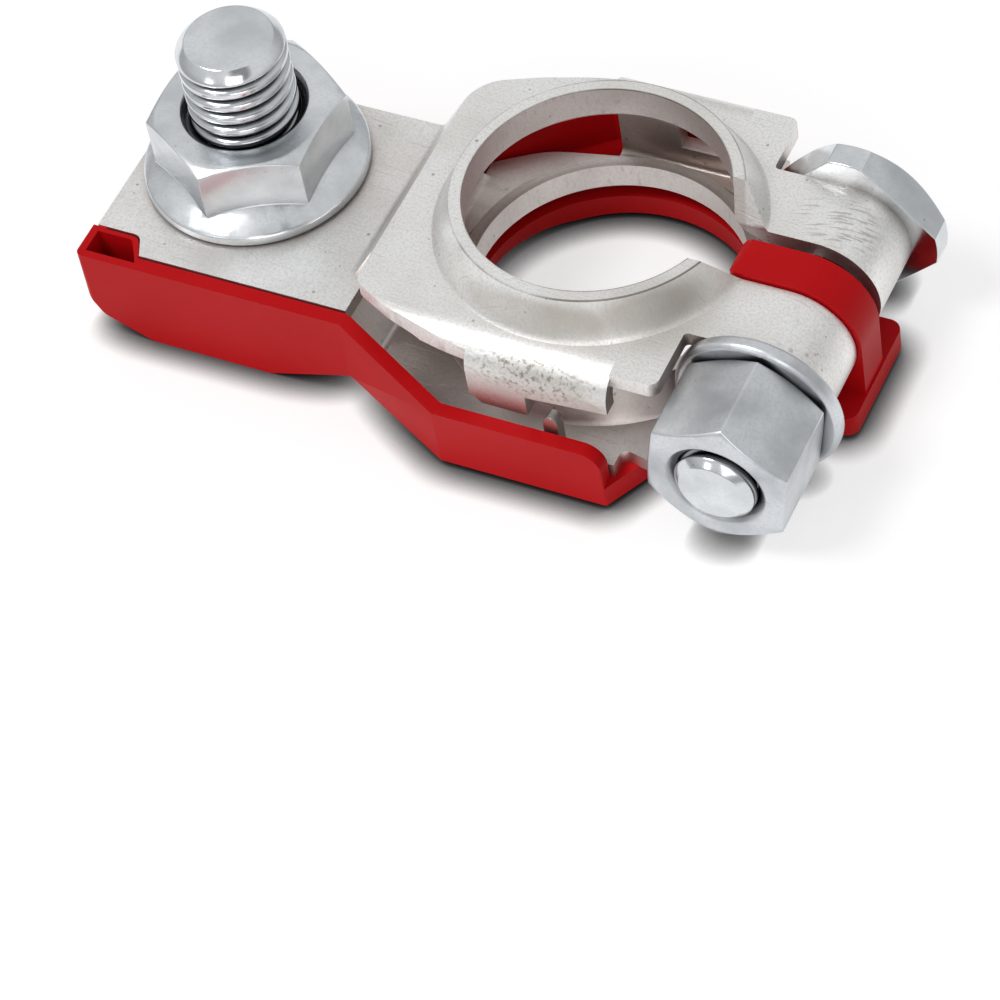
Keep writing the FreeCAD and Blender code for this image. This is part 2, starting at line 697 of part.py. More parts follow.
def stud_nut():
    """Flange nut: hexagon on a coned flange, in one piece."""
    bore = STUD_RADIUS + THREAD_PLAY
    height = STUD_NUT_HEIGHT
    reach = STUD_NUT_FLATS / math.sqrt(3.0)
    blank = corner_chamfer(STUD_NUT_FLATS, reach, height, STUD_NUT_SLOPE)
    body = regular_prism(6, STUD_NUT_FLATS, height, STUD_NUT_TURN).common(blank)
    cone_top = FLANGE_EDGE + FLANGE_CONE
    flange = turned(
        [(0, 0), (FLANGE_RADIUS - FLANGE_BREAK, 0), (FLANGE_RADIUS, FLANGE_BREAK),
         (FLANGE_RADIUS, FLANGE_EDGE - FLANGE_BREAK), (FLANGE_RADIUS - FLANGE_BREAK, FLANGE_EDGE),
         (FLANGE_CONE_TOP, cone_top), (0, cone_top)],
        0, 0,
    )
    nut = body.fuse(flange).cut(threaded_mouth(bore, STUD_NUT_SINK, height))
    nut.translate(Vector(-STUD_X, 0, TAB_TOP))
    return nut.removeSplitter()


def threaded_mouth(bore, sink, height):
    """The hole of a nut, with its sunk mouth at the top end."""
    return turned(
        [(0, -PAST), (bore, -PAST), (bore, height - (sink - bore)), (sink, height), (sink, height + PAST),
         (0, height + PAST)],
        0, 0,
    )


def lay_along_y(shape, y, towards):
    """Turns a piece built up +Z on the origin so that it lies on the pinch axis, starting at y."""
    shape.rotate(Vector(0, 0, 0), Vector(1, 0, 0), -90 if towards > 0 else 90)
    shape.translate(Vector(PINCH_X, y, PINCH_Z))
    return shape


def pinch_bolt():
    """Bolt along Y. Its square head stands on a corner, so the two plates beside it keep it from turning."""
    end = EAR_HALF + WASHER_THICK + PINCH_NUT_HEIGHT + PINCH_PROUD
    blank = corner_chamfer(PINCH_HEAD_FLATS, PINCH_HEAD_CORNER, PINCH_HEAD_HEIGHT, PINCH_HEAD_SLOPE)
    head = regular_prism(4, PINCH_HEAD_FLATS, PINCH_HEAD_HEIGHT, 0).common(blank)
    head = lay_along_y(head, EAR_HALF, 1)
    radius = PINCH_RADIUS
    shank = turned(
        [(0, -EAR_HALF), (radius, -EAR_HALF), (radius, end - PINCH_END_CHAMFER),
         (radius - PINCH_END_CHAMFER, end), (0, end)],
        0, 0,
    )
    shank = lay_along_y(shank, 0, -1)
    return head.fuse(shank).removeSplitter()


def pinch_washer():
    ring = turned(
        [(WASHER_HOLE, 0), (WASHER_RADIUS - WASHER_EDGE, 0), (WASHER_RADIUS, WASHER_EDGE),
         (WASHER_RADIUS, WASHER_THICK - WASHER_EDGE), (WASHER_RADIUS - WASHER_EDGE, WASHER_THICK),
         (WASHER_HOLE, WASHER_THICK)],
        0, 0,
    )
    return lay_along_y(ring, -EAR_HALF, -1)


def pinch_nut():
    """Tall hex nut with both ends chamfered and a sunk thread mouth."""
    height = PINCH_NUT_HEIGHT
    reach = PINCH_NUT_FLATS / math.sqrt(3.0)
    nut = regular_prism(6, PINCH_NUT_FLATS, height, PINCH_NUT_TURN)
    far_blank = corner_chamfer(PINCH_NUT_FLATS, reach, height, PINCH_NUT_SLOPE)
    near_blank = far_blank.copy()
    near_blank.rotate(Vector(0, 0, height / 2.0), Vector(1, 0, 0), 180)
    nut = nut.common(far_blank).common(near_blank)
    nut = nut.cut(threaded_mouth(PINCH_RADIUS + THREAD_PLAY, PINCH_NUT_SINK, height))
    return lay_along_y(nut, -EAR_HALF - WASHER_THICK, -1).removeSplitter()


PIECES = {
    "clamp_body": clamp_body,
    "insulating_tray": insulating_tray,
    "stud_bolt": stud_bolt,
    "stud_nut": stud_nut,
    "pinch_bolt": pinch_bolt,
    "pinch_washer": pinch_washer,
    "pinch_nut": pinch_nut,
}

os.makedirs("parts", exist_ok=True)
for name, make in PIECES.items():
    shape = make()
    solids = shape.Solids
    print(name, len(solids), "solid", round(shape.Volume, 1), "mm3", "valid" if shape.isValid() else "NOT VALID")
    shape = solids[0] if len(solids) == 1 else shape
    shape.exportStep("parts/" + name + ".step")
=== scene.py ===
import math

import bmesh
import bpy
from mathutils import Matrix, Quaternion, Vector


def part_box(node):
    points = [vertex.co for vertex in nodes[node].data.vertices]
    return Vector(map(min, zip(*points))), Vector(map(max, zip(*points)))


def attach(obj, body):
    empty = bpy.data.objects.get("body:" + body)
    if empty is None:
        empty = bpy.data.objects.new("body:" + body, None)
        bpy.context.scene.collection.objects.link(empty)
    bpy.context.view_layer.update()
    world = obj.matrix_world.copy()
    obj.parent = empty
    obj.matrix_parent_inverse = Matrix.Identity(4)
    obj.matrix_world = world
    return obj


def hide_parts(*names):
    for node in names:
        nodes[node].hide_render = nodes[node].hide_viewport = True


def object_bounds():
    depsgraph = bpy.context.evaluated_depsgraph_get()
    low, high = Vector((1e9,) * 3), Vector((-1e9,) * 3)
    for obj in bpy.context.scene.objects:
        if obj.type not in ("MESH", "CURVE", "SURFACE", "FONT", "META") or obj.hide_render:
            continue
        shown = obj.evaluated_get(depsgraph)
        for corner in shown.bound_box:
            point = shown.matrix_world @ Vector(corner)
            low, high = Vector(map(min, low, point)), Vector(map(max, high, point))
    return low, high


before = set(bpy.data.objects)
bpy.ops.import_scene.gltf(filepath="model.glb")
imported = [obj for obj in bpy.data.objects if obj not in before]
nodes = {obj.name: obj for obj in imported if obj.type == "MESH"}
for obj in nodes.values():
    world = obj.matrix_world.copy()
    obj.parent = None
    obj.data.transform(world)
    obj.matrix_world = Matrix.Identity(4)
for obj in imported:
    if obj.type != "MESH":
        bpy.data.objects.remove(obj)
bpy.context.view_layer.update()
cad_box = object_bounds()

# Camera
# It looks down on the clamp from the pinch bolt's side, with a long lens and a little roll, so that the
# stud stands at the top left and the pinch nut comes nearest.
MM = 0.001
VIEW_AZIMUTH = 33.583
VIEW_ELEVATION = 50.546
VIEW_ROLL = 11.445
VIEW_PLACE = Vector((102.29, -173.59, 216.11)) * MM
VIEW_LENS = 152.0

turn = math.radians(VIEW_AZIMUTH)
lift = math.radians(VIEW_ELEVATION)
view_back = Vector((math.sin(turn) * math.cos(lift), -math.cos(turn) * math.cos(lift), math.sin(lift)))
camera = bpy.data.objects.new("camera", bpy.data.cameras.new("camera"))
bpy.context.scene.collection.objects.link(camera)
camera.rotation_mode = "QUATERNION"
roll = Quaternion((0, 0, 1), -math.radians(VIEW_ROLL))
camera.rotation_quaternion = (-view_back).to_track_quat("-Z", "Y") @ roll
camera.location = VIEW_PLACE
camera.data.lens = VIEW_LENS
camera.data.sensor_width = 36.0
camera.data.clip_start = 0.01
camera.data.clip_end = 20.0
bpy.context.scene.camera = camera
bpy.context.scene.view_settings.view_transform = "Standard"


# Floor and light
# A white table in a pale room that the metal mirrors, with a dim patch above the camera. The key lamp hangs
# above the stud's side, and a small lamp low in front draws the bright lines on the edges. Near the clamp,
# ambient occlusion darkens the floor's seen colour and glow into a painted contact shadow.
FLOOR_SIZE = 4.0
FLOOR_SEEN = 0.50
FLOOR_GLOW = 0.63
FLOOR_GAP = 0.01 * MM
FLOOR_BOUNCE = 0.90
PAINTED_SHADOW_REACH = 2.4 * MM
PAINTED_SHADOW_POWER = 3.6
PAINTED_SHADOW_SAMPLES = 16
ROOM_LIGHTENING = (0.0, 0.6, 0.55, 0.98)
ROOM_DIFFUSE = 0.58
DIM_WAY = (0.48, -0.50, 0.72)
DIM_DARKENING = (0.93, 0.985, 0.0, 0.62)
LAMPS = {
    "key_lamp": ((-0.35, -0.30, 0.80), 0.30, 3.1),
    "fill_lamp": ((0.30, -0.62, 0.42), 0.40, 0.8),
    "edge_lamp": ((-0.28, -0.66, 0.36), 0.16, 0.17),
}


def add_node(tree, kind, **settings):
    node = tree.nodes.new(kind)
    for name, value in settings.items():
        setattr(node, name, value)
    return node


def join(tree, value, socket):
    """Sets an input to a number or a colour, or links another node's output to it."""
    if isinstance(value, bpy.types.NodeSocket):
        tree.links.new(value, socket)
    else:
        socket.default_value = value


def math_node(tree, operation, first, second=0.0, third=0.0):
    node = add_node(tree, "ShaderNodeMath", operation=operation)
    for socket, value in zip(node.inputs, (first, second, third)):
        join(tree, value, socket)
    return node.outputs[0]


def blank_material(name):
    material = bpy.data.materials.new(name)
    material.use_nodes = True
    tree = material.node_tree
    tree.nodes.clear()
    return material, tree, add_node(tree, "ShaderNodeOutputMaterial")


floor_mesh = bpy.data.meshes.new("floor")
half = FLOOR_SIZE / 2.0
floor_z = cad_box[0].z - FLOOR_GAP
floor_mesh.from_pydata(
    [(-half, -half, floor_z), (half, -half, floor_z), (half, half, floor_z), (-half, half, floor_z)],
    [], [(0, 1, 2, 3)],
)
floor = bpy.data.objects.new("floor", floor_mesh)
bpy.context.scene.collection.objects.link(floor)
floor_paint, tree, output = blank_material("floor_paint")
path = add_node(tree, "ShaderNodeLightPath")
seen = math_node(tree, "MAXIMUM", path.outputs["Is Camera Ray"], path.outputs["Is Glossy Ray"])
# Painted contact shadow: ambient occlusion near the clamp darkens the floor's seen colour and glow.
contact = add_node(tree, "ShaderNodeAmbientOcclusion", samples=PAINTED_SHADOW_SAMPLES)
contact.inputs["Distance"].default_value = PAINTED_SHADOW_REACH
painted_shadow_factor = math_node(tree, "POWER", contact.outputs["AO"], PAINTED_SHADOW_POWER)
tone = add_node(tree, "ShaderNodeMix", data_type="FLOAT")
join(tree, seen, tone.inputs["Factor"])
tone.inputs["A"].default_value = FLOOR_BOUNCE
join(tree, math_node(tree, "MULTIPLY", painted_shadow_factor, FLOOR_SEEN), tone.inputs["B"])
matt = add_node(tree, "ShaderNodeBsdfDiffuse")
join(tree, tone.outputs["Result"], matt.inputs["Color"])
glow = add_node(tree, "ShaderNodeEmission")
shine = math_node(tree, "MULTIPLY", painted_shadow_factor, FLOOR_GLOW)
join(tree, math_node(tree, "MULTIPLY", seen, shine), glow.inputs["Strength"])
both = add_node(tree, "ShaderNodeAddShader")
join(tree, matt.outputs[0], both.inputs[0])
join(tree, glow.outputs[0], both.inputs[1])
join(tree, both.outputs[0], output.inputs["Surface"])
floor_mesh.materials.append(floor_paint)

world = bpy.data.worlds.new("room")
world.use_nodes = True
bpy.context.scene.world = world
tree = world.node_tree
tree.nodes.clear()
output = add_node(tree, "ShaderNodeOutputWorld")
path = add_node(tree, "ShaderNodeLightPath")
way = add_node(tree, "ShaderNodeTexCoord")
parts = add_node(tree, "ShaderNodeSeparateXYZ")
join(tree, way.outputs["Generated"], parts.inputs[0])


def spread(tree, value, low, high, to_low=0.0, to_high=1.0, shape="LINEAR"):
    """Maps low to to_low and high to to_high, held at both ends. The named ranges hold the four in turn."""
    node = add_node(tree, "ShaderNodeMapRange", interpolation_type=shape)
    join(tree, value, node.inputs["Value"])
    for name, number in zip(("From Min", "From Max", "To Min", "To Max"), (low, high, to_low, to_high)):
        join(tree, number, node.inputs[name])
    return node.outputs["Result"]


def soft_step(tree, value, low, high, to_low, to_high):
    """The same as spread, but it eases in and out at both ends."""
    return spread(tree, value, low, high, to_low, to_high, "SMOOTHSTEP")


def towards(tree, direction):
    """How far a part of the room lies in a direction: 1 straight ahead, 0 at right angles."""
    node = add_node(tree, "ShaderNodeVectorMath", operation="DOT_PRODUCT")
    join(tree, way.outputs["Generated"], node.inputs[0])
    node.inputs[1].default_value = Vector(direction).normalized()
    return node.outputs["Value"]


level = soft_step(tree, parts.outputs["Z"], *ROOM_LIGHTENING)
dim = soft_step(tree, towards(tree, DIM_WAY), *DIM_DARKENING)
mirrored = math_node(tree, "SUBTRACT", level, dim)
scattered = math_node(tree, "MULTIPLY", level, ROOM_DIFFUSE)
by_ray = add_node(tree, "ShaderNodeMix", data_type="FLOAT")
join(tree, path.outputs["Is Glossy Ray"], by_ray.inputs["Factor"])
join(tree, scattered, by_ray.inputs["A"])
join(tree, mirrored, by_ray.inputs["B"])
room_light = by_ray.outputs["Result"]
strength = add_node(tree, "ShaderNodeMix", data_type="FLOAT")
join(tree, path.outputs["Is Camera Ray"], strength.inputs["Factor"])
join(tree, room_light, strength.inputs["A"])
strength.inputs["B"].default_value = 1.0
sky = add_node(tree, "ShaderNodeBackground")
join(tree, strength.outputs["Result"], sky.inputs["Strength"])
join(tree, sky.outputs[0], output.inputs["Surface"])

middle = (cad_box[0] + cad_box[1]) / 2.0
for name, (place, size, power) in LAMPS.items():
    lamp = bpy.data.lights.new(name, "AREA")
    lamp.shape = "SQUARE"
    lamp.size = size
    lamp.energy = power
    box = bpy.data.objects.new(name, lamp)
    box.location = Vector(place)
    box.rotation_mode = "QUATERNION"
    box.rotation_quaternion = (middle - box.location).to_track_quat("-Z", "Y")
    bpy.context.scene.collection.objects.link(box)


# Clamp body
# One steel sheet, blanked, drawn and folded over the pinch bolt, then tin plated to a satin grey-white that
# is cloudy, scratched along the sheet and pitted along the front skirt's bend. Painted brownish shade
# darkens the hollows and the collar's bore, and patches of painted shade darken the front skirt, the cone
# and the collar.
SHEET_COLOUR = (0.900, 0.900, 0.890, 1.0)
SHEET_SHADE = (0.760, 0.748, 0.722, 1.0)
SHEET_GRAIN = (0.620, 0.605, 0.580, 1.0)
HOLLOW_SHADE_COLOUR = (0.450, 0.365, 0.330, 1.0)
SCRATCH_COLOUR = (0.480, 0.460, 0.430, 1.0)
SPECK_COLOUR = (0.200, 0.180, 0.160, 1.0)
PIT_COLOUR = (0.230, 0.180, 0.140, 1.0)
SHADE_PATCH_COLOUR = (0.480, 0.440, 0.400, 1.0)
HOLLOW_REACH = 9.0 * MM
HOLLOW_SAMPLES = 12
SHEET_PATTERN = {"Cloud_Scale": 130.0, "Grain_Scale": 5200.0}
SHEET_CLOUDING = (0.42, 0.66)
SHEET_GRAINING = (0.42, 0.72, 0.0, 0.60)
HOLLOW_DARKENING = (0.15, 0.86, 0.90, 0.0)
SHADE_PATCH_CLOUDING = (0.35, 0.65, 0.50, 0.88)
SHEET_GLOSSING = (0.3, 0.75, 0.38, 0.52)
SCRATCHED_GLOSS = 0.12
LONG_SCRATCHES = {"Turn": 0.09, "Stretch": (260.0, 7500.0, 900.0), "Least": 0.655}
EAR_SCRATCHES = {"Turn": -0.30, "Stretch": (500.0, 5200.0, 900.0), "Least": 0.56}
SCRATCH_SOFTNESS = 0.05
LONG_SCRATCH_SHARE = 0.45
SCRATCH_DARKNESS = 0.7
FINE_SPECKS = {"Scale": 1300.0, "Size": 0.26, "Share": 0.25}
DENSE_SPECKS = {"Scale": 1900.0, "Size": 0.55, "Share": 0.55}
SPECK_CORE = 0.3
FINE_SPECK_DARKNESS = 0.65
DENSE_SPECK_DARKNESS = 0.45
PIT_SCALE = 2900.0
PIT_BREAKING = (0.50, 0.66)
PIT_DARKNESS = 0.75
RIM_HEIGHT = 2.80 * MM
RIM_INNER = 9.50 * MM
RIM_OUTER = 10.37 * MM
RIM_LINE = 0.11 * MM
RIM_BREAKING = (0.40, 0.60, 0.15, 0.85)
RIM_ROUGHNESS = 1.6
BORE_REACH = 10.15 * MM
BORE_SOFTNESS = 0.3 * MM
BORE_SHADE = 0.42
PATCH_SOFTENING = (0.45, 1.0, 1.0, 0.0)
MARKS = {
    "front_pits": ((0.6, -14.0, -1.6), (5.6, 1.8, 2.2)),
    "back_ear": ((16.3, 4.8, 0.0), (4.5, 3.0, 3.0)),
    "front_curl": ((18.6, -6.6, -1.5), (3.2, 1.6, 3.2)),
    "tab_bruise": ((-16.2, -12.0, 0.0), (3.0, 2.2, 3.0)),
    "tab_corner": ((-31.5, -9.0, 0.0), (5.5, 4.5, 4.0)),
    "skirt_shade": ((1.6, -14.6, -4.0), (9.5, 2.4, 5.0)),
    "cone_shade": ((7.8, -8.2, 1.5), (6.2, 5.0, 1.9)),
    "collar_shade": ((0.5, -11.2, 1.35), (10.5, 3.2, 1.7)),
}
SHEET_BUMP = (0.35, 0.04 * MM)
SHEET_EDGE = 0.16 * MM
EDGE_STEPS = 3
EDGE_ANGLE = math.radians(32.0)
FLAT_ANGLE = math.radians(0.4)
FLAT_WEIGHT = 80
WELD_REACH = 0.002 * MM


def mottle_group():
    """Cloudy tone, gloss and height that plated and moulded surfaces share."""
    group = bpy.data.node_groups.new("mottle", "ShaderNodeTree")
    for name in ("Cloud Scale", "Grain Scale"):
        group.interface.new_socket(name, in_out="INPUT", socket_type="NodeSocketFloat")
    for name in ("Cloud", "Grain"):
        group.interface.new_socket(name, in_out="OUTPUT", socket_type="NodeSocketFloat")
    inputs = add_node(group, "NodeGroupInput")
    outputs = add_node(group, "NodeGroupOutput")
    place = add_node(group, "ShaderNodeTexCoord")
    for source, target, detail in (("Cloud Scale", "Cloud", 5.0), ("Grain Scale", "Grain", 3.0)):
        noise = add_node(group, "ShaderNodeTexNoise")
        noise.inputs["Detail"].default_value = detail
        join(group, place.outputs["Object"], noise.inputs["Vector"])
        join(group, inputs.outputs[source], noise.inputs["Scale"])
        join(group, noise.outputs["Fac"], outputs.inputs[target])
    return group


def patch_group():
    """A soft-edged oval on the piece, to keep a mark to the place where it is."""
    group = bpy.data.node_groups.new("patch", "ShaderNodeTree")
    for name in ("Centre", "Half Size"):
        group.interface.new_socket(name, in_out="INPUT", socket_type="NodeSocketVector")
    group.interface.new_socket("Mask", in_out="OUTPUT", socket_type="NodeSocketFloat")
    inputs = add_node(group, "NodeGroupInput")
    outputs = add_node(group, "NodeGroupOutput")
    place = add_node(group, "ShaderNodeTexCoord")
    away = add_node(group, "ShaderNodeVectorMath", operation="SUBTRACT")
    join(group, place.outputs["Object"], away.inputs[0])
    join(group, inputs.outputs["Centre"], away.inputs[1])
    share = add_node(group, "ShaderNodeVectorMath", operation="DIVIDE")
    join(group, away.outputs[0], share.inputs[0])
    join(group, inputs.outputs["Half Size"], share.inputs[1])
    reach = add_node(group, "ShaderNodeVectorMath", operation="LENGTH")
    join(group, share.outputs[0], reach.inputs[0])
    join(group, soft_step(group, reach.outputs["Value"], *PATCH_SOFTENING), outputs.inputs["Mask"])
    return group


def place_group(tree, group, **values):
    node = add_node(tree, "ShaderNodeGroup", node_tree=group)
    for name, value in values.items():
        join(tree, value, node.inputs[name.replace("_", " ")])
    return node


def blend_colour(tree, factor, first, second):
    node = add_node(tree, "ShaderNodeMix", data_type="RGBA")
    join(tree, factor, node.inputs["Factor"])
    join(tree, first, node.inputs["A"])
    join(tree, second, node.inputs["B"])
    return node.outputs["Result"]


def round_edges(piece, width):
    """Live modifiers that join the CAD triangles and break every sharp edge as tumbling does."""
    weld = piece.modifiers.new("weld", "WELD")
    weld.merge_threshold = WELD_REACH
    flat = piece.modifiers.new("flat", "DECIMATE")
    flat.decimate_type = "DISSOLVE"
    flat.angle_limit = FLAT_ANGLE
    bevel = piece.modifiers.new("bevel", "BEVEL")
    bevel.width = width
    bevel.segments = EDGE_STEPS
    bevel.limit_method = "ANGLE"
    bevel.angle_limit = EDGE_ANGLE
    bevel.use_clamp_overlap = True
    bevel.harden_normals = False
    weighted = piece.modifiers.new("weighted", "WEIGHTED_NORMAL")
    weighted.keep_sharp = False
    weighted.weight = FLAT_WEIGHT


def relief(tree, shader, height, strength, depth):
    """Gives a surface its fine ups and downs."""
    bump = add_node(tree, "ShaderNodeBump")
    bump.inputs["Strength"].default_value = strength
    bump.inputs["Distance"].default_value = depth
    join(tree, height, bump.inputs["Height"])
    join(tree, bump.outputs[0], shader.inputs["Normal"])


def scratch_group():
    """Fine straight scratches that run along the sheet, in short broken runs."""
    group = bpy.data.node_groups.new("scratches", "ShaderNodeTree")
    for name, kind in (("Turn", "Float"), ("Stretch", "Vector"), ("Least", "Float")):
        group.interface.new_socket(name, in_out="INPUT", socket_type="NodeSocket" + kind)
    group.interface.new_socket("Mask", in_out="OUTPUT", socket_type="NodeSocketFloat")
    inputs = add_node(group, "NodeGroupInput")
    outputs = add_node(group, "NodeGroupOutput")
    place = add_node(group, "ShaderNodeTexCoord")
    turned = add_node(group, "ShaderNodeVectorRotate", rotation_type="Z_AXIS")
    join(group, place.outputs["Object"], turned.inputs["Vector"])
    join(group, inputs.outputs["Turn"], turned.inputs["Angle"])
    drawn = add_node(group, "ShaderNodeVectorMath", operation="MULTIPLY")
    join(group, turned.outputs[0], drawn.inputs[0])
    join(group, inputs.outputs["Stretch"], drawn.inputs[1])
    noise = add_node(group, "ShaderNodeTexNoise")
    noise.inputs["Scale"].default_value = 1.0
    noise.inputs["Detail"].default_value = 1.0
    join(group, drawn.outputs[0], noise.inputs["Vector"])
    most = math_node(group, "ADD", inputs.outputs["Least"], SCRATCH_SOFTNESS)
    mask = spread(group, noise.outputs["Fac"], inputs.outputs["Least"], most)
    join(group, mask, outputs.inputs["Mask"])
    return group


def speck_group():
    """Small round specks at random places, some larger than others."""
    group = bpy.data.node_groups.new("specks", "ShaderNodeTree")
    for name in ("Scale", "Size", "Share"):
        group.interface.new_socket(name, in_out="INPUT", socket_type="NodeSocketFloat")
    group.interface.new_socket("Mask", in_out="OUTPUT", socket_type="NodeSocketFloat")
    inputs = add_node(group, "NodeGroupInput")
    outputs = add_node(group, "NodeGroupOutput")
    place = add_node(group, "ShaderNodeTexCoord")
    cells = add_node(group, "ShaderNodeTexVoronoi")
    join(group, place.outputs["Object"], cells.inputs["Vector"])
    join(group, inputs.outputs["Scale"], cells.inputs["Scale"])
    chance = add_node(group, "ShaderNodeSeparateXYZ")
    join(group, cells.outputs["Color"], chance.inputs[0])
    reach = math_node(group, "MULTIPLY", chance.outputs["Y"], inputs.outputs["Size"])
    core = math_node(group, "MULTIPLY", reach, SPECK_CORE)
    dot = soft_step(group, cells.outputs["Distance"], core, reach, 1.0, 0.0)
    kept = math_node(group, "LESS_THAN", chance.outputs["X"], inputs.outputs["Share"])
    join(group, math_node(group, "MULTIPLY", dot, kept), outputs.inputs["Mask"])
    return group


def marked(tree, name):
    """How far inside one of the marked places a point of the sheet lies."""
    centre, half_size = (tuple(Vector(size) * MM) for size in MARKS[name])
    return place_group(tree, patch, Centre=centre, Half_Size=half_size).outputs["Mask"]


mottle = mottle_group()
patch = patch_group()
scratches = scratch_group()
specks = speck_group()

tin, tree, output = blank_material("tin_plate")
shader = add_node(tree, "ShaderNodeBsdfPrincipled")
shader.inputs["Metallic"].default_value = 1.0
surface = place_group(tree, mottle, **SHEET_PATTERN)
cloud = spread(tree, surface.outputs["Cloud"], *SHEET_CLOUDING)
colour = blend_colour(tree, cloud, SHEET_COLOUR, SHEET_SHADE)
grain = spread(tree, surface.outputs["Grain"], *SHEET_GRAINING)
colour = blend_colour(tree, grain, colour, SHEET_GRAIN)

# Painted shade: ambient occlusion darkens the sheet's colour to brown in hollows and corners.
air = add_node(tree, "ShaderNodeAmbientOcclusion", samples=HOLLOW_SAMPLES)
air.inputs["Distance"].default_value = HOLLOW_REACH
painted_hollow_shade = spread(tree, air.outputs["AO"], *HOLLOW_DARKENING)
colour = blend_colour(tree, painted_hollow_shade, colour, HOLLOW_SHADE_COLOUR)

# Painted shade: darker patches on the front skirt, the cone and the collar wall stand in for dark
# reflections.
painted_shade_patches = math_node(tree, "MAXIMUM", marked(tree, "skirt_shade"), marked(tree, "cone_shade"))
painted_shade_patches = math_node(tree, "MAXIMUM", painted_shade_patches, marked(tree, "collar_shade"))
painted_shade_patches = math_node(tree, "MULTIPLY", painted_shade_patches, spread(tree, surface.outputs["Cloud"], *SHADE_PATCH_CLOUDING))
colour = blend_colour(tree, painted_shade_patches, colour, SHADE_PATCH_COLOUR)

long_lines = place_group(tree, scratches, **LONG_SCRATCHES).outputs["Mask"]
long_lines = math_node(tree, "MULTIPLY", long_lines, LONG_SCRATCH_SHARE)
ear_lines = place_group(tree, scratches, **EAR_SCRATCHES).outputs["Mask"]
ear_lines = math_node(tree, "MULTIPLY", ear_lines, marked(tree, "back_ear"))
scratched = math_node(tree, "MAXIMUM", long_lines, ear_lines)
scratch_tint = math_node(tree, "MULTIPLY", scratched, SCRATCH_DARKNESS)
colour = blend_colour(tree, scratch_tint, colour, SCRATCH_COLOUR)

fine_specks = place_group(tree, specks, **FINE_SPECKS).outputs["Mask"]
fine_specks = math_node(tree, "MULTIPLY", fine_specks, FINE_SPECK_DARKNESS)
dense_specks = place_group(tree, specks, **DENSE_SPECKS).outputs["Mask"]
dirty = math_node(tree, "MAXIMUM", marked(tree, "front_curl"), marked(tree, "tab_corner"))
dirty = math_node(tree, "MAXIMUM", dirty, marked(tree, "tab_bruise"))
dirty = math_node(tree, "MULTIPLY", dirty, DENSE_SPECK_DARKNESS)
dense_specks = math_node(tree, "MULTIPLY", dense_specks, dirty)
speckled = math_node(tree, "MAXIMUM", fine_specks, dense_specks)
colour = blend_colour(tree, speckled, colour, SPECK_COLOUR)

flat_way = add_node(tree, "ShaderNodeVectorMath", operation="MULTIPLY")
place = add_node(tree, "ShaderNodeTexCoord")
join(tree, place.outputs["Object"], flat_way.inputs[0])
flat_way.inputs[1].default_value = (1.0, 1.0, 0.0)
from_axis = add_node(tree, "ShaderNodeVectorMath", operation="LENGTH")
join(tree, flat_way.outputs[0], from_axis.inputs[0])
high = add_node(tree, "ShaderNodeSeparateXYZ")
join(tree, place.outputs["Object"], high.inputs[0])
on_rim = math_node(tree, "GREATER_THAN", high.outputs["Z"], RIM_HEIGHT)
inner_line = soft_step(tree, from_axis.outputs["Value"], RIM_INNER, RIM_INNER + RIM_LINE, 1.0, 0.0)
outer_line = soft_step(tree, from_axis.outputs["Value"], RIM_OUTER - RIM_LINE, RIM_OUTER, 0.0, 1.0)
broken = spread(tree, surface.outputs["Cloud"], *RIM_BREAKING)
rim_line = math_node(tree, "MULTIPLY", math_node(tree, "MAXIMUM", inner_line, outer_line), on_rim)
rim_line = math_node(tree, "MULTIPLY", rim_line, broken)
colour = blend_colour(tree, rim_line, colour, SPECK_COLOUR)
# Painted shade on the collar's bore wall below the rim, in the same brown as the hollows.
bore_end = BORE_REACH + BORE_SOFTNESS
painted_bore_shade = soft_step(tree, from_axis.outputs["Value"], BORE_REACH, bore_end, BORE_SHADE, 0.0)
painted_bore_shade = math_node(tree, "MULTIPLY", painted_bore_shade, math_node(tree, "SUBTRACT", 1.0, on_rim))
colour = blend_colour(tree, painted_bore_shade, colour, HOLLOW_SHADE_COLOUR)

pit_noise = add_node(tree, "ShaderNodeTexNoise")
pit_noise.inputs["Scale"].default_value = PIT_SCALE
pit_noise.inputs["Detail"].default_value = 3.0
join(tree, place.outputs["Object"], pit_noise.inputs["Vector"])
pits = spread(tree, pit_noise.outputs["Fac"], *PIT_BREAKING)
pits = math_node(tree, "MULTIPLY", pits, marked(tree, "front_pits"))
colour = blend_colour(tree, math_node(tree, "MULTIPLY", pits, PIT_DARKNESS), colour, PIT_COLOUR)
join(tree, colour, shader.inputs["Base Color"])

gloss = spread(tree, surface.outputs["Cloud"], *SHEET_GLOSSING)
join(tree, math_node(tree, "MULTIPLY_ADD", scratched, SCRATCHED_GLOSS, gloss), shader.inputs["Roughness"])
rough_rim = math_node(tree, "MULTIPLY_ADD", on_rim, RIM_ROUGHNESS, 1.0)
height = math_node(tree, "MULTIPLY", surface.outputs["Grain"], rough_rim)
height = math_node(tree, "SUBTRACT", height, math_node(tree, "MAXIMUM", pits, scratched))
relief(tree, shader, height, *SHEET_BUMP)
join(tree, shader.outputs[0], output.inputs["Surface"])
nodes["clamp_body"].material_slots[0].material = tin
round_edges(nodes["clamp_body"], SHEET_EDGE)


# Insulating tray
# Injection-moulded plastic in signal red, with a satin skin and slightly rounded edges. The clamp body lies
# in it, and its fin stands in the slot between the ears.
TRAY_COLOUR = (0.560, 0.006, 0.009, 1.0)
TRAY_DEEP = (0.470, 0.003, 0.005, 1.0)
TRAY_PATTERN = {"Cloud_Scale": 60.0, "Grain_Scale": 3200.0}
TRAY_CLOUDING = (0.35, 0.70)
TRAY_GLOSSING = (0.3, 0.7, 0.34, 0.44)
TRAY_SHEEN = 0.10
TRAY_BUMP = (0.10, 0.03 * MM)
TRAY_EDGE = 0.30 * MM

